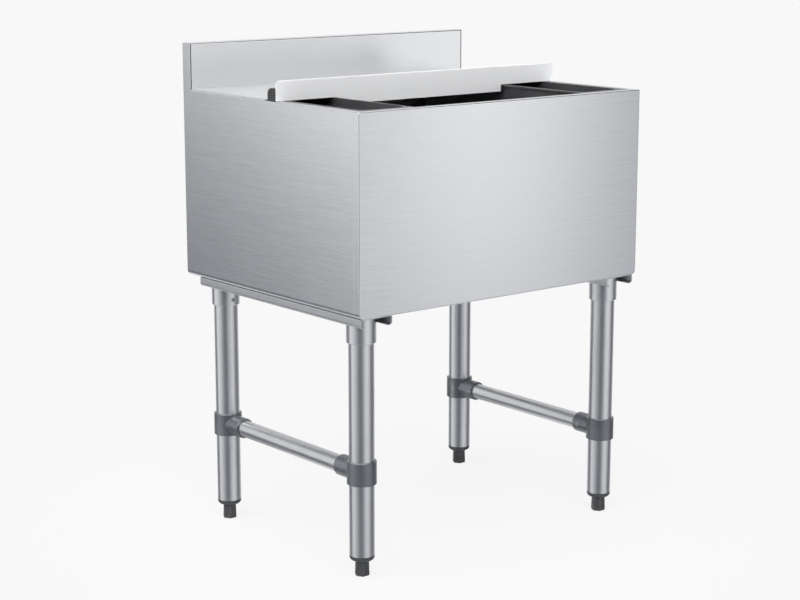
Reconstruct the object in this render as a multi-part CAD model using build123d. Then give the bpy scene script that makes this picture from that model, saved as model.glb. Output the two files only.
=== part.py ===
from build123d import *
import math
import os

# Stainless ice bin with a backsplash, two bottle wells, a sliding lid and four braced legs.
# Millimetres. The origin is on the floor under the middle of the body, the front faces -Y and +Z is up.

# Body
body_width = 609.6
body_depth = 489.0
rim_height = 755.0
body_height = 322.0
shell_sheet = 1.2
shell_bend = 1.8
shell_low_bend = 9.0
rim_width = 13.0
base_flange = 15.0
panel_gap = 0.5
pan_upturn = 14.0
pan_bend = 2.0

# Backsplash
splash_rise = 80.0
splash_thickness = 22.0
splash_rim = 10.0
splash_hem = 16.0
splash_bend = 3.0
splash_seam = 1.6
side_edge_round = 1.0

# Ice well
well_floor_rise = 32.0
well_sheet = 1.0
well_corner = 20.0
well_cove = 14.0
ledge_width = 10.0
ledge_drop = 3.0
well_tuck = 8.0
foam_gap = 0.5

# Bottle wells
tray_width = 94.0
tray_height = 176.0
tray_wall = 3.0
tray_thin_wall = 1.6
tray_step_depth = 12.0
tray_clearance = 0.8
tray_lip_thickness = 3.0
tray_inner_lip = 4.0
tray_floor = 3.0
tray_pockets = 4
tray_rib = 2.5
tray_rib_drop = 45.0
tray_drain_radius = 5.0

# Covers
cover_sheet = 1.2
cover_side_margin = 1.5
cover_front_flange = 10.0
cover_overlap = 24.0
lid_lead = 32.0
lid_clearance = 0.4
lid_rise = 33.0
lid_drop = 11.5
lid_side_margin = 1.0
lid_corner = 6.0
hem_height = 6.0
hem_thickness = 3.4
lid_stop_gap = 0.5
flange_side_gap = 4.0

# Lid end caps
cap_length = 22.5
cap_width = 20.0
cap_height = 21.0
cap_seat_height = 6.0
cap_glide_gap = 0.3
cap_round = 10.0
cap_screw_radius = 1.6
cap_screw_head_radius = 3.2
cap_screw_head = 1.8

# Drain
drain_pipe_radius = 16.7
drain_pipe_wall = 3.2
drain_flange_radius = 38.0
drain_flange_thickness = 2.5
drain_recess_depth = 4.5
drain_recess_margin = 3.0
drain_gasket = 1.5
drain_below = 34.0
drain_spigot_radius = 16.0
drain_spigot = 24.0
drain_nut_flats = 44.0
drain_nut_height = 9.0
drain_hole_gap = 0.3
drain_foam_gap = 1.5
strainer_radius = 19.0
strainer_thickness = 1.6
strainer_hole_radius = 1.8
strainer_rings = 2

# Channels under the body
channel_width = 63.0
channel_height = 15.5
channel_sheet = 1.5
channel_bend = 6.0
channel_lip = 8.0
channel_front_setback = 3.5
channel_rear_setback = 33.0

# Legs
leg_inset = 36.0
front_leg_setback = 42.8
rear_leg_setback = 425.4
leg_radius = 20.65
leg_wall = 1.5
leg_bottom = 34.5
leg_socket_gap = 0.3
leg_top_gap = 5.0
socket_radius = 24.0
socket_drop = 46.0
socket_chamfer = 0.8

# Leg set screws
screw_radius = 4.0
screw_proud = 1.2
screw_hole_gap = 0.05
screw_key = 2.0
screw_key_depth = 2.5
screw_rise = 10.0

# Clamps and braces
clamp_ring_radius = 24.2
clamp_ring_height = 38.0
clamp_gap = 0.1
clamp_chamfer = 0.8
clamp_reach = 52.5
clamp_socket_radius = 17.5
clamp_screw_angle = 17.0
clamp_screw_offset = 40.0
small_screw_radius = 3.0
brace_radius = 14.3
brace_wall = 1.5
brace_gap = 0.1
brace_seat = 28.0
left_brace_height = 173.5
right_brace_height = 153.0

# Feet
foot_height = 26.0
foot_flats = 21.0
foot_flare = 1.6
foot_chamfer = 1.4
foot_edge_round = 2.0
stud_radius = 6.35
stud_gap = 0.08
stud_length = 36.0
insert_depth = 32.0
insert_gap = 0.1
insert_dome = 7.0

# Places worked out from the sizes above
half_width = body_width / 2
half_depth = body_depth / 2
front = -half_depth
back = half_depth
body_bottom = rim_height - body_height
splash_top = rim_height + splash_rise
splash_face = back - splash_thickness
inner_half = half_width - shell_sheet
pan_bottom = body_bottom + shell_sheet
pan_top = pan_bottom + shell_sheet
ledge_top = rim_height - ledge_drop
rim_front = front + rim_width
rim_back = splash_face - splash_rim
well_half = half_width - rim_width - ledge_width
well_front = rim_front + ledge_width
well_back = rim_back - ledge_width
well_length = well_back - well_front
well_middle = (well_front + well_back) / 2
well_floor = body_bottom + well_floor_rise
tray_outer = well_half - tray_clearance
tray_corner = well_corner - tray_clearance
tray_inner = well_half - tray_width
channel_top = body_bottom
socket_top = channel_top - channel_sheet
socket_bottom = body_bottom - socket_drop
lid_bottom = rim_height + cover_sheet + lid_clearance
lid_top = lid_bottom + cover_sheet
lid_back = splash_face - lid_stop_gap
cover_run = lid_back - well_front - lid_stop_gap
lid_length = (cover_run + cover_overlap + lid_lead) / 2
lid_front = lid_back - lid_length
lid_travel = cover_run - lid_length
lid_half = half_width - lid_side_margin
cover_front = lid_back - lid_travel - cover_overlap
cap_front = lid_front + cover_sheet
insert_top = leg_bottom + insert_depth

legs = {
    "front_left": (-1, -1),
    "front_right": (1, -1),
    "back_left": (-1, 1),
    "back_right": (1, 1),
}
sides = {"left": -1, "right": 1}


def block(x, y, z):
    """A box between two corners, given as pairs of low and high values."""
    size = [abs(high - low) for low, high in (x, y, z)]
    middle = [(low + high) / 2 for low, high in (x, y, z)]
    return Pos(*middle) * Box(*size)


def pair(a, b):
    return (min(a, b), max(a, b))


def upright(radius, low, high, x=0.0, y=0.0):
    """A vertical cylinder between two heights."""
    return Pos(x, y, (low + high) / 2) * Cylinder(radius, high - low)


def rod_y(radius, low, high, x, z):
    """A cylinder along Y between two places."""
    return Pos(x, (low + high) / 2, z) * Rot(90, 0, 0) * Cylinder(radius, high - low)


def rounded_prism(x, y, z, corner):
    """A vertical prism with four rounded upright edges."""
    solid = block(x, y, z)
    return fillet(solid.edges().filter_by(Axis.Z), corner)


def frame_ring(outer_x, outer_y, inner_x, inner_y, z, corner=0.0):
    """A flat rectangular ring. A corner radius rounds the inner opening."""
    deeper = (z[0] - 1, z[1] + 1)
    inner = block(inner_x, inner_y, deeper)
    if corner:
        inner = rounded_prism(inner_x, inner_y, deeper, corner)
    return block(outer_x, outer_y, z) - inner


def leg_place(name):
    side, end = legs[name]
    y = front + (front_leg_setback if end < 0 else rear_leg_setback)
    return side * (half_width - leg_inset), y


def front_panel():
    """Front sheet: wraps both corners, turns in at the top as the rim and in at the foot."""
    outer = block((-half_width, half_width), (front, rim_front), (body_bottom, rim_height))
    outer = bent_front(outer, shell_low_bend, shell_bend)
    outer = fillet(outer.faces().sort_by(Axis.Z)[-1].edges().sort_by(Axis.Y)[0], shell_sheet * 1.5)
    hollow = block(
        (-inner_half, inner_half),
        (front + shell_sheet, rim_front + 1),
        (pan_bottom, rim_height - shell_sheet),
    )
    return outer - bent_front(hollow, shell_low_bend - shell_sheet, shell_bend - shell_sheet)


def bent_front(solid, low_bend, bend):
    """Rounds the two low edges along Y, then the sides and foot of the front face."""
    solid = fillet(solid.edges().filter_by(Axis.Y).group_by(Axis.Z)[0], low_bend)
    outline = solid.faces().sort_by(Axis.Y)[0].edges().sort_by(Axis.Z)
    return fillet(outline[:-1], bend)


def side_panel(side):
    """Side sheet with the rim and the foot turned in, and an ear that closes the backsplash."""
    outside = side * half_width
    inside = side * inner_half
    flange = side * (half_width - rim_width)
    turned_in = side * (half_width - base_flange)
    past = side * (half_width - base_flange - 1)
    sheet = block(pair(outside, turned_in), (rim_front, back), (body_bottom, rim_height))
    low_edges = sheet.edges().filter_by(Axis.Y).group_by(Axis.Z)[0]
    sheet = fillet(outermost(low_edges), shell_low_bend)
    front_edges = sheet.edges().filter_by(Axis.Z).group_by(Axis.Y)[0]
    sheet = fillet(outermost(front_edges), side_edge_round)
    hollow = block(pair(inside, past), (rim_front - 1, back + 1), (pan_bottom, rim_height + 1))
    low_edges = hollow.edges().filter_by(Axis.Y).group_by(Axis.Z)[0]
    sheet -= fillet(outermost(low_edges), shell_low_bend - shell_sheet)
    ear = block(pair(outside, inside), (splash_face, back), (rim_height, splash_top))
    rim = block(
        pair(outside, flange), (rim_front, splash_face), (rim_height - shell_sheet, rim_height)
    )
    solid = sheet + ear + rim
    edges = solid.edges().filter_by(Axis.Y).filter_by(
        lambda edge: abs(edge.center().X - outside) < 0.01
        and abs(edge.center().Z - rim_height) < 0.01
    )
    return fillet(edges, shell_sheet * 0.8)


def outermost(edges):
    """The one edge farthest from the middle plane of the bin."""
    return max(edges, key=lambda edge: abs(edge.center().X))


def backsplash():
    """Face, folded top and rear hem of the backsplash, with the rear rim turned forward."""
    width = (-inner_half + splash_seam, inner_half - splash_seam)
    outer = block(width, (splash_face, back), (rim_height - shell_sheet, splash_top))
    outer = fillet(outer.edges().filter_by(Axis.X).group_by(Axis.Z)[-1], splash_bend)
    hollow = block(
        (-half_width, half_width),
        (splash_face + shell_sheet, back - shell_sheet),
        (rim_height - 2 * shell_sheet, splash_top - shell_sheet),
    )
    hollow = fillet(
        hollow.edges().filter_by(Axis.X).group_by(Axis.Z)[-1], splash_bend - shell_sheet
    )
    behind = block(
        (-half_width, half_width),
        (back - shell_sheet - 1, back + 1),
        (rim_height - 2 * shell_sheet, splash_top - splash_hem),
    )
    rim = block(width, (rim_back, splash_face + 0.5), (rim_height - shell_sheet, rim_height))
    rim -= block(
        (-half_width, -half_width + rim_width),
        (rim_back - 1, splash_face),
        (rim_height - 2 * shell_sheet, rim_height + 1),
    )
    rim -= block(
        (half_width - rim_width, half_width),
        (rim_back - 1, splash_face),
        (rim_height - 2 * shell_sheet, rim_height + 1),
    )
    return outer - hollow - behind + rim


def back_panel():
    """Rear sheet, up to the hem of the backsplash, with a foot turned in between the sides' feet."""
    width = (-inner_half, inner_half)
    sheet = block(width, (back - shell_sheet, back), (pan_bottom, splash_top - splash_hem))
    sheet = fillet(sheet.edges().filter_by(Axis.Y).group_by(Axis.Z)[0], shell_low_bend)
    foot_half = half_width - base_flange - panel_gap
    base = block((-foot_half, foot_half), (back - base_flange, back), (body_bottom, pan_bottom))
    solid = sheet + base
    return fillet(solid.edges().filter_by(Axis.X).group_by(Axis.Z)[0].sort_by(Axis.Y)[-1], shell_sheet * 0.8)


def bottom_pan():
    """Pan on the turned-in feet of the case: front and back edges turned up, and a hole for the drain."""
    pan_half = half_width - shell_low_bend
    upturn_half = pan_half - shell_low_bend
    bends_y = (front + shell_sheet + pan_bend, back - shell_sheet - pan_bend)
    pan = block((-pan_half, pan_half), bends_y, (pan_bottom, pan_top))
    pan = fillet(pan.edges().filter_by(Axis.Z), shell_low_bend)
    outside = block(
        (-upturn_half, upturn_half),
        (front + shell_sheet, back - shell_sheet),
        (pan_bottom, pan_bottom + pan_upturn),
    )
    inside = block(
        (-half_width, half_width),
        (front + 2 * shell_sheet, back - 2 * shell_sheet),
        (pan_top, pan_bottom + pan_upturn + 1),
    )
    outside = fillet(outside.edges().filter_by(Axis.X).group_by(Axis.Z)[0], pan_bend)
    inside = fillet(inside.edges().filter_by(Axis.X).group_by(Axis.Z)[0], pan_bend - shell_sheet)
    pan += outside - inside
    return pan - upright(drain_pipe_radius + drain_hole_gap, pan_bottom - 1, pan_top + 1, 0, well_middle)


def well_bowl(grow, floor_z, top_z):
    """The bowl of the well, grown outwards by a wall thickness."""
    solid = rounded_prism(
        (-well_half - grow, well_half + grow),
        (well_front - grow, well_back + grow),
        (floor_z, top_z),
        well_corner + grow,
    )
    return fillet(solid.faces().sort_by(Axis.Z)[0].edges(), well_cove + grow)


def ice_well():
    """Liner: ledge under the rim, coved walls, floor dished round the drain."""
    bowl = well_bowl(well_sheet, well_floor - well_sheet, ledge_top)
    dish_radius = drain_flange_radius + drain_recess_margin
    dish = upright(dish_radius, well_floor - drain_recess_depth - well_sheet, well_floor, 0, well_middle)
    bowl += dish
    bowl -= well_bowl(0, well_floor, ledge_top + 1)
    bowl -= upright(
        dish_radius - well_sheet, well_floor - drain_recess_depth, well_floor + 1, 0, well_middle
    )
    bowl -= upright(
        drain_pipe_radius + drain_hole_gap, well_floor - 20, well_floor + 1, 0, well_middle
    )
    rim_x = (-half_width + rim_width, half_width - rim_width)
    rim_y = (rim_front, rim_back)
    ledge = frame_ring(
        (rim_x[0] - well_sheet, rim_x[1] + well_sheet),
        (rim_y[0] - well_sheet, rim_y[1] + well_sheet),
        (-well_half, well_half),
        (well_front, well_back),
        (ledge_top - well_sheet, ledge_top),
        well_corner,
    )
    under = rim_height - shell_sheet
    step = frame_ring(
        (rim_x[0] - well_sheet, rim_x[1] + well_sheet),
        (rim_y[0] - well_sheet, rim_y[1] + well_sheet),
        rim_x,
        rim_y,
        (ledge_top - well_sheet, under),
    )
    tuck = frame_ring(
        (rim_x[0] - well_tuck, rim_x[1] + well_tuck),
        (rim_y[0] - well_tuck, rim_y[1] + well_tuck),
        rim_x,
        rim_y,
        (under - well_sheet, under),
    )
    return bowl + ledge + step + tuck


def foam_insulation():
    """Foam between the liner and the case, one piece all round."""
    outer = block(
        (-inner_half + foam_gap, inner_half - foam_gap),
        (front + shell_sheet + pan_bend, back - shell_sheet - pan_bend),
        (pan_top, ledge_top - well_sheet),
    )
    outer = fillet(outer.edges().filter_by(Axis.Y).group_by(Axis.Z)[0], shell_low_bend)
    outer = fillet(outer.edges().filter_by(Axis.Z), shell_bend)
    outer -= well_bowl(well_sheet + foam_gap, well_floor - well_sheet - foam_gap, ledge_top + 1)
    outer -= upright(
        drain_flange_radius + drain_recess_margin + foam_gap,
        well_floor - drain_recess_depth - well_sheet - foam_gap,
        well_floor,
        0,
        well_middle,
    )
    return outer - upright(drain_pipe_radius + drain_foam_gap, pan_top - 1, well_floor, 0, well_middle)


def bottle_well(side):
    """Hanging bottle well: lip on three sides, thin stepped rim, cross ribs, drain holes."""
    y = (well_front + tray_clearance, well_back - tray_clearance)
    x = pair(side * tray_outer, side * tray_inner)
    bottom = rim_height - tray_height
    solid = rounded_prism(x, y, (bottom, rim_height), tray_corner)
    solid = fillet(solid.faces().sort_by(Axis.Z)[0].edges(), tray_floor * 2)

    lip_edge = half_width - rim_width - panel_gap
    lip_low = rim_height - tray_lip_thickness
    lip_y = (rim_front + panel_gap, rim_back - panel_gap)
    lip = block(pair(side * lip_edge, side * (tray_inner - tray_inner_lip)), lip_y, (lip_low, rim_height))
    solid += fillet(lip.edges().filter_by(Axis.Z), 3.0)

    pitch = (y[1] - y[0] - 2 * tray_wall + tray_rib) / tray_pockets
    pocket_floor = bottom + tray_floor
    cut_x = (x[0] + tray_wall, x[1] - tray_wall)
    rib_top = rim_height - tray_rib_drop
    inner_corner = tray_corner - tray_wall
    upper = rounded_prism(
        cut_x, (y[0] + tray_wall, y[1] - tray_wall), (rib_top, rim_height + 1), inner_corner
    )
    solid -= upper
    middle_x = (x[0] + x[1]) / 2
    for index in range(tray_pockets):
        low = y[0] + tray_wall + index * pitch
        high = low + pitch - tray_rib
        pocket = rounded_prism(cut_x, (low, high), (pocket_floor, rib_top + 1), inner_corner)
        solid -= fillet(pocket.faces().sort_by(Axis.Z)[0].edges(), tray_floor)
        solid -= upright(tray_drain_radius, bottom - 1, pocket_floor + 1, middle_x, (low + high) / 2)
    step = rounded_prism(
        (x[0] + tray_thin_wall, x[1] - tray_thin_wall),
        (y[0] + tray_thin_wall, y[1] - tray_thin_wall),
        (rim_height - tray_step_depth, rim_height + 1),
        tray_corner - tray_thin_wall,
    )
    return solid - step


def rear_cover():
    """Fixed rear half of the cover, resting on the rim, with a stiffening flange in front."""
    half = half_width - cover_side_margin
    plate = block((-half, half), (cover_front, splash_face), (rim_height, rim_height + cover_sheet))
    flange_half = tray_inner - tray_inner_lip - flange_side_gap
    flange = block(
        (-flange_half, flange_half),
        (cover_front, cover_front + cover_sheet),
        (rim_height - cover_front_flange, rim_height + cover_sheet),
    )
    return plate + flange


def sliding_lid():
    """Sliding plate, notched at its front corners round the end caps."""
    plate = block((-lid_half, lid_half), (cap_front, lid_back), (lid_bottom, lid_top))
    for side in sides.values():
        corner = block(
            pair(side * (half_width - rim_width - panel_gap), side * (half_width + 1)),
            (cap_front - 1, cap_front + cap_length + panel_gap),
            (lid_bottom - 1, lid_top + 1),
        )
        plate -= corner
        plate -= upright(
            cap_screw_radius + screw_hole_gap, lid_bottom - 1, lid_top + 1, *cap_screw_place(side)
        )
    return plate


def lid_handle():
    """Upright strip on the front of the lid: grip edge above, guard flange between the bottle wells."""
    top = rim_height + lid_rise
    strip = block((-lid_half, lid_half), (lid_front, cap_front), (rim_height + lid_clearance, top))
    corners = strip.edges().filter_by(Axis.Y).group_by(Axis.Z)[-1]
    strip = fillet(corners, lid_corner)
    hem = block(
        (-lid_half + lid_corner, lid_half - lid_corner),
        (lid_front, lid_front + hem_thickness),
        (top - hem_height, top),
    )
    hem = fillet(hem.edges().filter_by(Axis.X).group_by(Axis.Z)[-1], hem_thickness / 2 - 0.1)
    strip = strip - block(
        (-lid_half + lid_corner, lid_half - lid_corner),
        (lid_front - 1, cap_front + 1),
        (top - hem_height, top + 1),
    )
    guard_half = tray_inner - tray_inner_lip - flange_side_gap
    guard = block(
        (-guard_half, guard_half),
        (lid_front, cap_front),
        (rim_height - lid_drop, rim_height + lid_clearance),
    )
    return strip + hem + guard


def cap_screw_place(side):
    inner_edge = half_width - cap_width
    outer_edge = half_width - rim_width - panel_gap
    return side * (inner_edge + outer_edge) / 2, cap_front + cap_length / 2


def lid_cap(side):
    """End cap behind the strip: glides on the side rim and is screwed down on the plate."""
    outer_x = side * (half_width - 0.2)
    notch_x = side * (half_width - rim_width)
    inner_x = side * (half_width - cap_width)
    y = (cap_front, cap_front + cap_length)
    tower = block(pair(outer_x, notch_x), y, (rim_height + cap_glide_gap, rim_height + cap_height))
    tower = fillet(tower.edges().filter_by(Axis.X).group_by(Axis.Z)[-1].sort_by(Axis.Y)[-1], cap_round)
    tower = fillet(tower.faces().sort_by(Axis.Z)[-1].edges().filter_by(Axis.Y), 1.5)
    seat = block(pair(notch_x, inner_x), y, (lid_top, lid_top + cap_seat_height))
    cap = tower + seat
    x, y_screw = cap_screw_place(side)
    hole_top = lid_top + cap_seat_height + 1
    return cap - upright(cap_screw_radius + screw_hole_gap, lid_top - 1, hole_top, x, y_screw)


def lid_cap_screws():
    """One pan-head screw down through each end cap into the plate."""
    screws = []
    for side in sides.values():
        x, y = cap_screw_place(side)
        seat = lid_top + cap_seat_height
        shank = upright(cap_screw_radius, lid_bottom, seat, x, y)
        head = upright(cap_screw_head_radius, seat, seat + cap_screw_head, x, y)
        head = fillet(head.faces().sort_by(Axis.Z)[-1].edges(), 0.8)
        slot = Pos(x, y, seat + cap_screw_head) * Box(cap_screw_head_radius * 1.3, 0.8, 1.4)
        cross = Pos(x, y, seat + cap_screw_head) * Box(0.8, cap_screw_head_radius * 1.3, 1.4)
        screws.append(shank + head - slot - cross)
    return Compound(children=screws)


def drain_levels():
    gasket_bottom = well_floor - drain_recess_depth
    flange_bottom = gasket_bottom + drain_gasket
    return gasket_bottom, flange_bottom, flange_bottom + drain_flange_thickness


def drain_tailpiece():
    """Flanged drain body that passes down through the liner, the foam and the pan."""
    _, low, high = drain_levels()
    seat = strainer_radius + 0.3
    flange = upright(drain_flange_radius, low, high, 0, well_middle)
    flange = fillet(flange.faces().sort_by(Axis.Z)[-1].edges(), 0.8)
    end = body_bottom - drain_below
    pipe = upright(drain_pipe_radius, end + drain_spigot, low, 0, well_middle)
    spigot = upright(drain_spigot_radius, end, end + drain_spigot, 0, well_middle)
    spigot = chamfer(spigot.faces().sort_by(Axis.Z)[0].edges(), 1.0)
    solid = flange + pipe + spigot
    solid -= upright(seat, high - strainer_thickness, high + 1, 0, well_middle)
    return solid - upright(drain_pipe_radius - drain_pipe_wall, end - 1, high + 1, 0, well_middle)


def drain_gasket_ring():
    low, high, _ = drain_levels()
    ring = upright(drain_flange_radius - 1, low, high, 0, well_middle)
    return ring - upright(drain_pipe_radius + drain_hole_gap, low - 1, high + 1, 0, well_middle)


def drain_strainer():
    """Round perforated plate, flush in the drain flange."""
    high = drain_levels()[2]
    plate = upright(strainer_radius, high - strainer_thickness, high, 0, well_middle)
    spacing = (drain_pipe_radius - drain_pipe_wall - strainer_hole_radius * 2) / strainer_rings
    holes = [Pos(0, well_middle, high) * Cylinder(strainer_hole_radius, strainer_thickness * 4)]
    for ring in range(1, strainer_rings + 1):
        for index in range(6 * ring):
            angle = math.tau * index / (6 * ring)
            x = ring * spacing * math.cos(angle)
            y = well_middle + ring * spacing * math.sin(angle)
            holes.append(Pos(x, y, high) * Cylinder(strainer_hole_radius, strainer_thickness * 4))
    return plate - holes


def drain_locknut():
    """Hexagon nut that pulls the drain up under the pan."""
    high = pan_bottom
    low = high - drain_nut_height
    nut = extrude(RegularPolygon(drain_nut_flats / 2, 6, major_radius=False), drain_nut_height)
    nut = chamfer(nut.faces().sort_by(Axis.Z)[0].edges(), 1.0)
    nut = Pos(0, well_middle, low) * nut
    return nut - upright(drain_pipe_radius + 0.1, low - 1, high + 1, 0, well_middle)


def channel(side):
    """Channel under one side, open below, with two narrow lips."""
    middle = side * (half_width - leg_inset)
    x = (middle - channel_width / 2, middle + channel_width / 2)
    y = (front + channel_front_setback, back - channel_rear_setback)
    z = (channel_top - channel_height, channel_top)
    outer = block(x, y, z)
    outer = fillet(outer.edges().filter_by(Axis.Y).group_by(Axis.Z)[0], channel_bend)
    outer = fillet(outer.edges().filter_by(Axis.Y).group_by(Axis.Z)[-1], channel_sheet)
    long_y = (y[0] - 1, y[1] + 1)
    hollow = block(
        (x[0] + channel_sheet, x[1] - channel_sheet), long_y, (z[0] + channel_sheet, z[1] - channel_sheet)
    )
    hollow = fillet(
        hollow.edges().filter_by(Axis.Y).group_by(Axis.Z)[0], channel_bend - channel_sheet
    )
    slot = block((x[0] + channel_lip, x[1] - channel_lip), long_y, (z[0] - 1, z[0] + channel_sheet + 1))
    return outer - hollow - slot


def leg_socket(name):
    """Round socket welded up inside the channel, with a tapped hole for its set screw."""
    x, y = leg_place(name)
    end = legs[name][1]
    solid = upright(socket_radius, socket_bottom, socket_top, x, y)
    solid = chamfer(solid.faces().sort_by(Axis.Z)[0].edges(), socket_chamfer)
    solid -= upright(leg_radius + leg_socket_gap, socket_bottom - 1, socket_top + 1, x, y)
    hole = rod_y(screw_radius + screw_hole_gap, *pair(y, y - end * (socket_radius + 5)), x, screw_height())
    return solid - hole


def screw_height():
    return socket_bottom + screw_rise


def set_screw(radius, length):
    """Set screw along +Z from the origin, with a hexagon key hole in its outer end."""
    body = Pos(0, 0, length / 2) * Cylinder(radius, length)
    body = chamfer(body.edges().filter_by(GeomType.CIRCLE), 0.4)
    key = Pos(0, 0, length) * extrude(RegularPolygon(screw_key * radius / 4, 6), -screw_key_depth)
    return body - key


def socket_set_screws():
    """One set screw in each leg socket, facing the middle of the bin."""
    screws = []
    for name, (side, end) in legs.items():
        x, y = leg_place(name)
        start = leg_radius
        length = socket_radius + screw_proud - start
        turn = Rot(90, 0, 0) if end > 0 else Rot(-90, 0, 0)
        screws.append(Pos(x, y - end * start, screw_height()) * turn * set_screw(screw_radius, length))
    return Compound(children=screws)


def leg(name):
    x, y = leg_place(name)
    top = socket_top - leg_top_gap
    tube = upright(leg_radius, leg_bottom, top, x, y)
    tube = chamfer(tube.faces().sort_by(Axis.Z)[0].edges(), 0.5)
    return tube - upright(leg_radius - leg_wall, leg_bottom - 1, top + 1, x, y)


def brace_height(side):
    return left_brace_height if side < 0 else right_brace_height


def clamp_screw_direction(side, end):
    """Unit direction of the ring's screw: inwards, turned a little towards the brace."""
    turn = math.radians(clamp_screw_angle)
    return -side * math.cos(turn), -math.sin(turn) * end


def clamp(name):
    """T-clamp: a ring round the leg and a socket that holds the brace."""
    side, end = legs[name]
    x, y = leg_place(name)
    z = brace_height(side)
    ring = upright(clamp_ring_radius, z - clamp_ring_height / 2, z + clamp_ring_height / 2, x, y)
    ring = fillet(ring.edges().filter_by(GeomType.CIRCLE), clamp_chamfer)
    arm = rod_y(clamp_socket_radius, *pair(y, y - end * clamp_reach), x, z)
    mouth = arm.faces().sort_by(Axis.Y)[0 if end > 0 else -1]
    arm = fillet(mouth.edges(), clamp_chamfer)
    solid = ring + arm
    solid -= upright(
        leg_radius + clamp_gap, z - clamp_ring_height, z + clamp_ring_height, x, y
    )
    seat = clamp_ring_radius + 1
    solid -= rod_y(brace_radius + brace_gap, *pair(y - end * seat, y - end * (clamp_reach + 1)), x, z)
    dx, dy = clamp_screw_direction(side, end)
    ring_hole = cylinder_between(
        (x + dx * leg_radius, y + dy * leg_radius, z),
        (x + dx * (clamp_ring_radius + 5), y + dy * (clamp_ring_radius + 5), z),
        small_screw_radius + screw_hole_gap,
    )
    arm_y = y - end * clamp_screw_offset
    arm_hole = cylinder_between(
        (x - side * brace_radius, arm_y, z),
        (x - side * (clamp_socket_radius + 5), arm_y, z),
        small_screw_radius + screw_hole_gap,
    )
    return solid - ring_hole - arm_hole


def cylinder_between(start, finish, radius):
    first = Vector(*start)
    last = Vector(*finish)
    plane = Plane(origin=first, z_dir=last - first)
    return plane * Pos(0, 0, (last - first).length / 2) * Cylinder(radius, (last - first).length)


def clamp_ring_screws():
    """Set screws that lock the rings on the legs."""
    screws = []
    for name, (side, end) in legs.items():
        x, y = leg_place(name)
        dx, dy = clamp_screw_direction(side, end)
        start = leg_radius + clamp_gap
        plane = Plane(origin=(x + dx * start, y + dy * start, brace_height(side)), z_dir=(dx, dy, 0))
        screws.append(plane * set_screw(small_screw_radius, clamp_ring_radius + 0.6 - start))
    return Compound(children=screws)


def clamp_arm_screws():
    """Set screws that lock the braces in the clamps."""
    screws = []
    for name, (side, end) in legs.items():
        x, y = leg_place(name)
        start = brace_radius + brace_gap
        origin = (x - side * start, y - end * clamp_screw_offset, brace_height(side))
        plane = Plane(origin=origin, z_dir=(-side, 0, 0))
        screws.append(plane * set_screw(small_screw_radius, clamp_socket_radius + 0.6 - start))
    return Compound(children=screws)


def brace(side):
    x = side * (half_width - leg_inset)
    z = brace_height(side)
    low = front + front_leg_setback + brace_seat
    high = front + rear_leg_setback - brace_seat
    tube = rod_y(brace_radius, low, high, x, z)
    return tube - rod_y(brace_radius - brace_wall, low - 1, high + 1, x, z)


def foot_insert(name):
    """Insert in the end of the leg: a plug inside the tube and a domed collar below it."""
    x, y = leg_place(name)
    plug = upright(leg_radius - leg_wall - insert_gap, leg_bottom, insert_top, x, y)
    plug = chamfer(plug.faces().sort_by(Axis.Z)[-1].edges(), 1.0)
    collar = upright(leg_radius, foot_height, leg_bottom, x, y)
    collar = fillet(collar.faces().sort_by(Axis.Z)[0].edges(), insert_dome)
    solid = plug + collar
    return solid - upright(stud_radius + stud_gap, foot_height - 1, insert_top + 1, x, y)


def foot(name):
    """Screw-in foot: a six-sided stem, a little wider at the floor, and its stud."""
    x, y = leg_place(name)
    top = Plane.XY.offset(foot_height) * RegularPolygon(foot_flats / 2, 6, major_radius=False)
    low = Plane.XY * RegularPolygon(foot_flats / 2 + foot_flare / 2, 6, major_radius=False)
    stem = loft([low.face(), top.face()])
    corners = stem.edges().filter_by(lambda edge: abs(edge.center().Z - foot_height / 2) < 1)
    stem = fillet(corners, foot_edge_round)
    stem = chamfer(stem.faces().sort_by(Axis.Z)[0].edges(), foot_chamfer)
    stud = upright(stud_radius, foot_height - 0.5, foot_height + stud_length)
    stud = chamfer(stud.faces().sort_by(Axis.Z)[-1].edges(), 1.0)
    return Pos(x, y, 0) * (stem + stud)


def main():
    nodes = {
        "front_panel": front_panel(),
        "backsplash": backsplash(),
        "back_panel": back_panel(),
        "bottom_pan": bottom_pan(),
        "ice_well": ice_well(),
        "foam_insulation": foam_insulation(),
        "rear_cover": rear_cover(),
        "sliding_lid": sliding_lid(),
        "lid_handle": lid_handle(),
        "lid_cap_screws": lid_cap_screws(),
        "drain_tailpiece": drain_tailpiece(),
        "drain_gasket": drain_gasket_ring(),
        "drain_strainer": drain_strainer(),
        "drain_locknut": drain_locknut(),
        "socket_set_screws": socket_set_screws(),
        "clamp_ring_screws": clamp_ring_screws(),
        "clamp_arm_screws": clamp_arm_screws(),
    }
    for name, side in sides.items():
        nodes[name + "_side_panel"] = side_panel(side)
        nodes[name + "_bottle_well"] = bottle_well(side)
        nodes[name + "_lid_cap"] = lid_cap(side)
        nodes[name + "_channel"] = channel(side)
        nodes[name + "_brace"] = brace(side)
    for name in legs:
        nodes[name + "_leg_socket"] = leg_socket(name)
        nodes[name + "_leg"] = leg(name)
        nodes[name + "_clamp"] = clamp(name)
        nodes[name + "_foot_insert"] = foot_insert(name)
        nodes[name + "_foot"] = foot(name)
    os.makedirs("parts", exist_ok=True)
    for name, solid in nodes.items():
        export_step(solid, f"parts/{name}.step")
    print(len(nodes), "nodes, lid travel", round(lid_travel, 2))


main()
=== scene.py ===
import math

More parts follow.
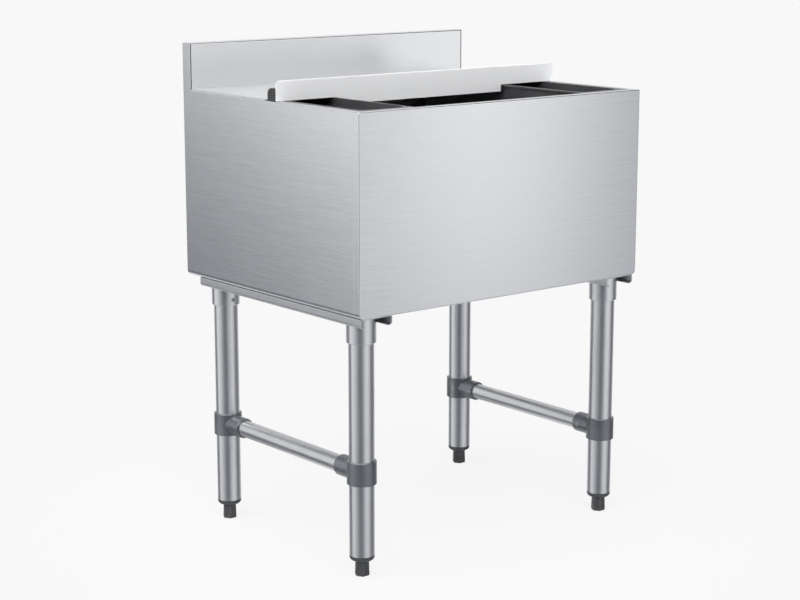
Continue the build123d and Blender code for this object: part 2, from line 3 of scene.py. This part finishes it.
import bpy
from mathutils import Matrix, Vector

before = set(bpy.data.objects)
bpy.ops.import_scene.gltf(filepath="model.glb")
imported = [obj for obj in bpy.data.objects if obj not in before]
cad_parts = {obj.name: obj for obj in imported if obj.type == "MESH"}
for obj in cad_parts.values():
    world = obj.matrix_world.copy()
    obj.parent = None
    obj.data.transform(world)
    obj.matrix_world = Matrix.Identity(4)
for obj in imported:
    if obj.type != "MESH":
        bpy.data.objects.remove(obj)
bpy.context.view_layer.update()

# Stainless ice bin: materials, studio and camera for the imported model.
# Metres, same frame as the model. Angles are in degrees.

# Camera: its place, its heading from +Y towards +X, how far it looks down, and its lens in millimetres.
CAMERA_PLACE = (-2.0257, -2.4646, 1.0480)
CAMERA_YAW = 39.051
CAMERA_PITCH = 11.702
CAMERA_LENS = 83.705
CAMERA_SENSOR = 36.0
CAMERA_REACH = 100.0

# Floor and backdrop. The camera sees the floor blend into the backdrop's colour, by the near share up to the
# near distance from the middle, and altogether from the far distance on.
BACKDROP = (0.939, 0.939, 0.939)
FLOOR_COLOUR = (0.80, 0.80, 0.80)
FLOOR_ROUGHNESS = 0.9
FLOOR_RADIUS = 1.7
FLOOR_SIDES = 96
BLEND_DISTANCES = (0.35, 0.85)
BLEND_SHARES = (0.90, 1.0)

# Room: its level between the cards, and its tint, which goes from dim to bright between two levels.
ROOM_LEVEL = 0.17
TINT_LEVELS = (0.15, 0.9)
DIM_TINT = (0.91, 0.955, 1.07)
BRIGHT_TINT = (1.0, 1.0, 1.0)

# Noise is mostly in these spans. A tone goes from dark to light over the first, and roughness from its lowest
# to its highest over the second.
TONE_SPAN = (0.36, 0.64)
ROUGH_SPAN = (0.3, 0.7)

# A face is level where its normal's Z is over this.
LEVEL_NORMAL = 0.75

# Brushed sheet: the scale of its noise along and across the grain, the shares of grain and clouds in its tone,
# the height of its grain, and how far its reflections stretch.
STREAKS = (9.0, 600.0)
FINE_GRAIN = (30.0, 1500.0)
CLOUDS = 5.0
GRAIN_SHARE = 0.45
CLOUD_SHARE = 0.1
GRAIN_HEIGHT = 0.00004
REFLECTION_STRETCH = 0.5

# Drawn tube: the scale of its lines where it stands and where it runs front to back, of its marks, and the
# height of its lines.
LINES_ROUND = (60.0, 60.0, 900.0)
LINES_ALONG = (500.0, 14.0, 500.0)
TUBE_MARKS = (30.0, 30.0, 12.0)
LINE_HEIGHT = 0.00003


# Node helpers

def new_material(name):
    material = bpy.data.materials.new(name)
    material.use_nodes = True
    tree = material.node_tree
    tree.nodes.clear()
    output = tree.nodes.new("ShaderNodeOutputMaterial")
    shader = tree.nodes.new("ShaderNodeBsdfPrincipled")
    tree.links.new(shader.outputs["BSDF"], output.inputs["Surface"])
    return material, tree, shader


def feed(tree, socket, value):
    """Links another node's output to a socket, or sets a plain value on it."""
    if isinstance(value, bpy.types.NodeSocket):
        tree.links.new(value, socket)
    elif socket.type == "RGBA":
        socket.default_value = (*value, 1.0)
    else:
        socket.default_value = value


def math_node(tree, operation, first, second=None, third=None):
    node = tree.nodes.new("ShaderNodeMath")
    node.operation = operation
    for socket, value in zip(node.inputs, (first, second, third)):
        if value is not None:
            feed(tree, socket, value)
    return node.outputs["Value"]


def vector_node(tree, operation, first, second=None):
    node = tree.nodes.new("ShaderNodeVectorMath")
    node.operation = operation
    feed(tree, node.inputs[0], first)
    if second is not None:
        feed(tree, node.inputs[1], second)
    return node


def object_place(tree):
    return tree.nodes.new("ShaderNodeTexCoord").outputs["Object"]


def noise(tree, place, scale, detail, roughness):
    """Noise at a place. The scale is a number, or a vector or a socket that the place is multiplied by."""
    node = tree.nodes.new("ShaderNodeTexNoise")
    if isinstance(scale, float):
        node.inputs["Scale"].default_value = scale
    else:
        node.inputs["Scale"].default_value = 1.0
        place = vector_node(tree, "MULTIPLY", place, scale).outputs["Vector"]
    node.inputs["Detail"].default_value = detail
    node.inputs["Roughness"].default_value = roughness
    tree.links.new(place, node.inputs["Vector"])
    return node.outputs["Fac"]


def ranged(tree, value, low, high, to_low, to_high, smooth=False):
    node = tree.nodes.new("ShaderNodeMapRange")
    node.interpolation_type = "SMOOTHSTEP" if smooth else "LINEAR"
    tree.links.new(value, node.inputs["Value"])
    node.inputs["From Min"].default_value = low
    node.inputs["From Max"].default_value = high
    node.inputs["To Min"].default_value = to_low
    node.inputs["To Max"].default_value = to_high
    return node.outputs["Result"]


def mixed(tree, kind, factor, first, second):
    """A colour or a vector between two. The kind is RGBA or VECTOR."""
    node = tree.nodes.new("ShaderNodeMix")
    node.data_type = kind
    tree.links.new(factor, node.inputs["Factor"])
    feed(tree, node.inputs["A"], first)
    feed(tree, node.inputs["B"], second)
    return node.outputs["Result"]


def mixed_shader(tree, factor, first, second):
    node = tree.nodes.new("ShaderNodeMixShader")
    tree.links.new(factor, node.inputs["Fac"])
    tree.links.new(first, node.inputs[1])
    tree.links.new(second, node.inputs[2])
    return node.outputs["Shader"]


def added(tree, first, first_share, second, second_share):
    """A share of one value and a share of another."""
    rest = math_node(tree, "MULTIPLY", second, second_share)
    return math_node(tree, "MULTIPLY_ADD", first, first_share, rest)


def coloured(tree, shader, factor, dark, light):
    feed(tree, shader.inputs["Base Color"], mixed(tree, "RGBA", factor, dark, light))


def roughened(tree, shader, marks, low, high):
    feed(tree, shader.inputs["Roughness"], ranged(tree, marks, *ROUGH_SPAN, low, high))


def bumped(tree, shader, height, distance, strength):
    node = tree.nodes.new("ShaderNodeBump")
    node.inputs["Strength"].default_value = strength
    node.inputs["Distance"].default_value = distance
    tree.links.new(height, node.inputs["Height"])
    tree.links.new(node.outputs["Normal"], shader.inputs["Normal"])


def edge_wear(tree):
    """Near 1 on worn outer edges, 0 elsewhere."""
    node = tree.nodes.new("ShaderNodeNewGeometry")
    return ranged(tree, node.outputs["Pointiness"], 0.52, 0.60, 0.0, 1.0)


def by_facing(tree, upright, level):
    """One vector on upright faces and another on level ones."""
    normal = tree.nodes.new("ShaderNodeNewGeometry").outputs["Normal"]
    split = tree.nodes.new("ShaderNodeSeparateXYZ")
    tree.links.new(normal, split.inputs["Vector"])
    levelness = math_node(tree, "ABSOLUTE", split.outputs["Z"])
    return mixed(tree, "VECTOR", math_node(tree, "GREATER_THAN", levelness, LEVEL_NORMAL), upright, level)


# Metals

def grain_scale(tree, along, across):
    """Scales noise into grain that runs along X on level faces, and level on upright ones."""
    return by_facing(tree, (along, along, across), (along, across, along))


def brushed_sheet(name, dark, light, roughness, metallic=1.0, grain=0.12, spread=0.03):
    """Brushed sheet: level streaks, fine grain, and faint cloudy patches from handling.

    Reflections blur across the grain: up and down on upright faces, front to back on level ones.
    """
    material, tree, shader = new_material(name)
    place = object_place(tree)
    streaks = noise(tree, place, grain_scale(tree, *STREAKS), 3.0, 0.6)
    fine = noise(tree, place, grain_scale(tree, *FINE_GRAIN), 2.0, 0.6)
    clouds = noise(tree, place, CLOUDS, 3.0, 0.55)
    marks = added(tree, streaks, GRAIN_SHARE, fine, GRAIN_SHARE)
    marks = math_node(tree, "MULTIPLY_ADD", clouds, CLOUD_SHARE, marks)
    coloured(tree, shader, ranged(tree, marks, *TONE_SPAN, 0.0, 1.0), dark, light)
    roughened(tree, shader, marks, roughness - spread, roughness + spread)
    shader.inputs["Metallic"].default_value = metallic
    shader.inputs["Anisotropic"].default_value = REFLECTION_STRETCH
    feed(tree, shader.inputs["Tangent"], by_facing(tree, (0.0, 0.0, 1.0), (0.0, 1.0, 0.0)))
    bumped(tree, shader, added(tree, fine, 0.6, streaks, 0.4), GRAIN_HEIGHT, grain)
    return material


def satin_tube(name, dark, light, roughness, upright=True):
    """Drawn tube: very fine lines round it or along it, and faint marks."""
    material, tree, shader = new_material(name)
    place = object_place(tree)
    lines = noise(tree, place, LINES_ROUND if upright else LINES_ALONG, 3.0, 0.6)
    marks = added(tree, lines, 0.6, noise(tree, place, TUBE_MARKS, 4.0, 0.6), 0.4)
    coloured(tree, shader, ranged(tree, marks, *TONE_SPAN, 0.0, 1.0), dark, light)
    roughened(tree, shader, marks, roughness - 0.02, roughness + 0.03)
    shader.inputs["Metallic"].default_value = 1.0
    bumped(tree, shader, lines, LINE_HEIGHT, 0.12)
    return material


def polished(name, colour, roughness):
    """Plated metal with faint darker marks."""
    material, tree, shader = new_material(name)
    marks = noise(tree, object_place(tree), 180.0, 4.0, 0.6)
    coloured(tree, shader, marks, tuple(channel * 0.82 for channel in colour), colour)
    roughened(tree, shader, marks, roughness, roughness + 0.12)
    shader.inputs["Metallic"].default_value = 1.0
    bumped(tree, shader, marks, 0.00004, 0.3)
    return material


# Plastics, castings and soft parts

def grained(name, dark, light, worn, roughness, pitch, metallic=0.0):
    """Moulded plastic or a coated casting: fine texture, soft patches, lighter worn edges."""
    material, tree, shader = new_material(name)
    place = object_place(tree)
    texture = noise(tree, place, pitch, 2.0, 0.6)
    patches = noise(tree, place, 22.0, 4.0, 0.6)
    colour = mixed(tree, "RGBA", ranged(tree, patches, 0.35, 0.65, 0.0, 1.0), dark, light)
    wear = math_node(tree, "MULTIPLY", edge_wear(tree), ranged(tree, patches, 0.4, 0.6, 0.2, 0.8))
    coloured(tree, shader, wear, colour, worn)
    roughened(tree, shader, patches, roughness - 0.07, roughness + 0.07)
    shader.inputs["Metallic"].default_value = metallic
    bumped(tree, shader, texture, 0.00012, 0.35)
    return material


def foam(name, dark, light):
    material, tree, shader = new_material(name)
    cells = tree.nodes.new("ShaderNodeTexVoronoi")
    cells.inputs["Scale"].default_value = 600.0
    tree.links.new(object_place(tree), cells.inputs["Vector"])
    coloured(tree, shader, cells.outputs["Distance"], dark, light)
    shader.inputs["Roughness"].default_value = 0.9
    bumped(tree, shader, cells.outputs["Distance"], 0.0004, 0.5)
    return material


def rubber(name, dark, light):
    material, tree, shader = new_material(name)
    texture = noise(tree, object_place(tree), 700.0, 3.0, 0.6)
    coloured(tree, shader, texture, dark, light)
    roughened(tree, shader, texture, 0.6, 0.75)
    bumped(tree, shader, texture, 0.0001, 0.3)
    return material


# A finish has a dark tone and a light one, the colour of its worn edges where it has them, and its roughness.
# A polished one has a single colour, and the roughness of its smoothest places.
FINISHES = {
    "case": brushed_sheet(
        "case_brushed", (0.630, 0.640, 0.656), (0.696, 0.706, 0.722), 0.23, grain=0.08, spread=0.02
    ),
    "cover": brushed_sheet("cover_brushed", (0.65, 0.653, 0.66), (0.70, 0.703, 0.71), 0.33, metallic=0.6),
    # Lid handle: a painted reflection. Its pale, hardly metallic colour stands in for the bright reflection of
    # ice that the stainless strip shows.
    "grip": brushed_sheet("grip_brushed_painted_reflection", (0.88, 0.883, 0.886), (0.92, 0.923, 0.926), 0.36, metallic=0.15),
    "splash": brushed_sheet(
        "splash_brushed", (0.715, 0.722, 0.733), (0.745, 0.752, 0.763), 0.25, grain=0.06, spread=0.015
    ),
    "liner": brushed_sheet("liner_brushed", (0.70, 0.705, 0.71), (0.78, 0.785, 0.79), 0.3),
    "bracket": brushed_sheet("bracket_brushed", (0.49, 0.495, 0.51), (0.56, 0.565, 0.58), 0.40),
    "tube": satin_tube("leg_satin", (0.56, 0.565, 0.58), (0.60, 0.605, 0.62), 0.29),
    "brace": satin_tube("brace_satin", (0.49, 0.495, 0.51), (0.54, 0.545, 0.56), 0.31, upright=False),
    "clamp": grained(
        "clamp_coat",
        (0.140, 0.147, 0.162),
        (0.175, 0.182, 0.198),
        (0.36, 0.36, 0.37),
        0.36,
        1300.0,
        metallic=0.75,
    ),
    "foot": grained(
        "foot_moulded", (0.028, 0.029, 0.032), (0.042, 0.043, 0.046), (0.09, 0.09, 0.09), 0.45, 1100.0
    ),
    "tray": grained(
        "tray_moulded", (0.040, 0.041, 0.044), (0.056, 0.057, 0.061), (0.10, 0.10, 0.10), 0.42, 800.0
    ),
    "cap": grained(
        "cap_moulded", (0.016, 0.018, 0.016), (0.026, 0.028, 0.025), (0.06, 0.06, 0.06), 0.40, 900.0
    ),
    "drain": polished("drain_plated", (0.62, 0.62, 0.63), 0.16),
    "screw": polished("screw_plated", (0.44, 0.44, 0.45), 0.26),
    "foam": foam("foam_cells", (0.55, 0.46, 0.22), (0.78, 0.70, 0.44)),
    "gasket": rubber("gasket_soft", (0.012, 0.012, 0.012), (0.03, 0.03, 0.03)),
}

DRESSED = {
    "case": ("front_panel", "left_side_panel", "right_side_panel", "back_panel"),
    "splash": ("backsplash",),
    "cover": ("rear_cover", "sliding_lid"),
    "grip": ("lid_handle",),
    "liner": ("ice_well", "bottom_pan"),
    "bracket": ("left_channel", "right_channel"),
    "brace": ("left_brace", "right_brace"),
    "tray": ("left_bottle_well", "right_bottle_well"),
    "cap": ("left_lid_cap", "right_lid_cap"),
    "drain": ("drain_tailpiece", "drain_strainer", "drain_locknut"),
    "screw": ("socket_set_screws", "clamp_ring_screws", "clamp_arm_screws", "lid_cap_screws"),
    "foam": ("foam_insulation",),
    "gasket": ("drain_gasket",),
}
CORNERS = ("front_left", "front_right", "back_left", "back_right")
AT_EACH_LEG = {"leg_socket": "tube", "leg": "tube", "clamp": "clamp", "foot_insert": "foot", "foot": "foot"}


def dress(node, finish):
    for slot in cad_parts[node].material_slots:
        slot.material = FINISHES[finish]


for finish, nodes in DRESSED.items():
    for node in nodes:
        dress(node, finish)
for corner in CORNERS:
    for kind, finish in AT_EACH_LEG.items():
        dress(f"{corner}_{kind}", finish)


# Floor

def floor_paper():
    """Matt paper. The camera sees it blend into the backdrop, and reflections look through it to the room."""
    material, tree, shader = new_material("floor_paper")
    shader.inputs["Base Color"].default_value = (*FLOOR_COLOUR, 1.0)
    shader.inputs["Roughness"].default_value = FLOOR_ROUGHNESS
    shader.inputs["Specular IOR Level"].default_value = 0.0
    glow = tree.nodes.new("ShaderNodeEmission")
    glow.inputs["Color"].default_value = (*BACKDROP, 1.0)
    clear = tree.nodes.new("ShaderNodeBsdfTransparent")
    light_path = tree.nodes.new("ShaderNodeLightPath")
    distance = vector_node(tree, "LENGTH", object_place(tree)).outputs["Value"]
    blend = ranged(tree, distance, *BLEND_DISTANCES, *BLEND_SHARES, True)
    blend = math_node(tree, "MULTIPLY", light_path.outputs["Is Camera Ray"], blend)
    seen = mixed_shader(tree, blend, shader.outputs["BSDF"], glow.outputs["Emission"])
    surface = mixed_shader(tree, light_path.outputs["Is Glossy Ray"], seen, clear.outputs["BSDF"])
    output = next(node for node in tree.nodes if node.type == "OUTPUT_MATERIAL")
    tree.links.new(surface, output.inputs["Surface"])
    return material


def make_floor():
    mesh = bpy.data.meshes.new("floor")
    turns = [math.tau * side / FLOOR_SIDES for side in range(FLOOR_SIDES)]
    corners = [(FLOOR_RADIUS * math.cos(turn), FLOOR_RADIUS * math.sin(turn), 0.0) for turn in turns]
    mesh.from_pydata(corners, [], [tuple(range(FLOOR_SIDES))])
    mesh.materials.append(floor_paper())
    floor = bpy.data.objects.new("floor", mesh)
    bpy.context.scene.collection.objects.link(floor)


make_floor()


# Studio light

def level_axis(heading):
    heading = math.radians(heading)
    return (math.sin(heading), math.cos(heading), 0.0)


def window(tree, value, rise_from, rise_to, fall_from, fall_to):
    """0, up to 1 between the first two values, and down to 0 between the last two."""
    rise = ranged(tree, value, rise_from, rise_to, 0.0, 1.0, True)
    fall = ranged(tree, value, fall_from, fall_to, 1.0, 0.0, True)
    return math_node(tree, "MULTIPLY", rise, fall)


def room_level(tree):
    """How bright the room is in each direction: dim, with soft cards round the bin, over it and under it.

    Turn goes round from the front to the right, left goes round to the left, and away goes either way.
    Rise goes up from the horizon.
    """
    direction = tree.nodes.new("ShaderNodeTexCoord").outputs["Generated"]

    def along(axis):
        return vector_node(tree, "DOT_PRODUCT", direction, axis).outputs["Value"]

    to_right = along(level_axis(CAMERA_YAW + 90))
    to_front = along(level_axis(CAMERA_YAW + 180))
    turn = math_node(tree, "DEGREES", math_node(tree, "ARCTAN2", to_right, to_front))
    rise = math_node(tree, "DEGREES", math_node(tree, "ARCSINE", along((0.0, 0.0, 1.0))))
    left = math_node(tree, "MULTIPLY", turn, -1.0)
    away = math_node(tree, "ABSOLUTE", turn)
    slant = math_node(tree, "SUBTRACT", left, rise)
    rear_right = ranged(tree, turn, 98, 118, 0, 1, True)
    rear_left = ranged(tree, left, 116, 134, 0, 1, True)

    # Each card has its strength, then the factors that shape it.
    cards = {
        "right": (0.56, window(tree, turn, -6, 44, 60, 104), window(tree, rise, -36, -8, 18, 36)),
        "right lobe": (0.42, window(tree, turn, 10, 42, 64, 78), window(tree, rise, -40, -16, 18, 36)),
        "right strip": (1.42, window(tree, turn, 76.5, 80.5, 81.5, 85.5), window(tree, rise, -22, -6, 12, 28)),
        "high right": (0.60, window(tree, turn, 58, 68, 76, 84), window(tree, rise, 0, 8, 18, 30)),
        "left": (
            0.86,
            window(tree, left, 7, 74, 108, 124),
            ranged(tree, slant, 104.5, 117.5, 1, 0),
            window(tree, rise, -40, -14, 45, 70),
        ),
        "left strip": (0.75, window(tree, slant, 96, 104, 106, 113), window(tree, rise, -30, -10, 10, 30)),
        "back": (0.75, ranged(tree, away, 135, 155, 0, 1, True), window(tree, rise, -2, 6, 45, 65)),
        "behind": (0.16, math_node(tree, "ADD", rear_right, rear_left), window(tree, rise, -50, -35, -6, 0)),
        "low back": (0.50, ranged(tree, away, 124, 150, 0, 1, True), window(tree, rise, -55, -35, -10, 2)),
        "overhead": (0.8, ranged(tree, rise, 40, 70, 0, 1, True)),
        "high front": (3.4, window(tree, left, -55, -30, 60, 110), window(tree, rise, 16, 32, 55, 72)),
        "under": (0.70, ranged(tree, rise, -55, -22, 1, 0, True)),
    }
    level = ROOM_LEVEL
    for strength, card, *factors in cards.values():
        for factor in factors:
            card = math_node(tree, "MULTIPLY", card, factor)
        level = math_node(tree, "MULTIPLY_ADD", card, strength, level)
    return level


def make_world():
    """The room lights the bin and shows in its metal, and the camera sees the plain backdrop."""
    world = bpy.data.worlds.new("studio")
    bpy.context.scene.world = world
    world.cycles.sampling_method = "NONE"
    world.use_nodes = True
    tree = world.node_tree
    tree.nodes.clear()
    output = tree.nodes.new("ShaderNodeOutputWorld")
    level = room_level(tree)
    tint = mixed(tree, "RGBA", ranged(tree, level, *TINT_LEVELS, 0.0, 1.0), DIM_TINT, BRIGHT_TINT)
    studio = tree.nodes.new("ShaderNodeBackground")
    tree.links.new(tint, studio.inputs["Color"])
    tree.links.new(level, studio.inputs["Strength"])
    backdrop = tree.nodes.new("ShaderNodeBackground")
    backdrop.inputs["Color"].default_value = (*BACKDROP, 1.0)
    seen = tree.nodes.new("ShaderNodeLightPath").outputs["Is Camera Ray"]
    surface = mixed_shader(tree, seen, studio.outputs["Background"], backdrop.outputs["Background"])
    tree.links.new(surface, output.inputs["Surface"])


make_world()


# Camera

def make_camera():
    data = bpy.data.cameras.new("camera")
    data.sensor_width = CAMERA_SENSOR
    data.lens = CAMERA_LENS
    data.clip_end = CAMERA_REACH
    camera = bpy.data.objects.new("camera", data)
    bpy.context.scene.collection.objects.link(camera)
    yaw = math.radians(CAMERA_YAW)
    pitch = math.radians(CAMERA_PITCH)
    view = Vector((math.sin(yaw) * math.cos(pitch), math.cos(yaw) * math.cos(pitch), -math.sin(pitch)))
    camera.location = CAMERA_PLACE
    camera.rotation_mode = "QUATERNION"
    camera.rotation_quaternion = view.to_track_quat("-Z", "Y")
    bpy.context.scene.camera = camera


make_camera()
bpy.context.scene.view_settings.view_transform = "Standard"
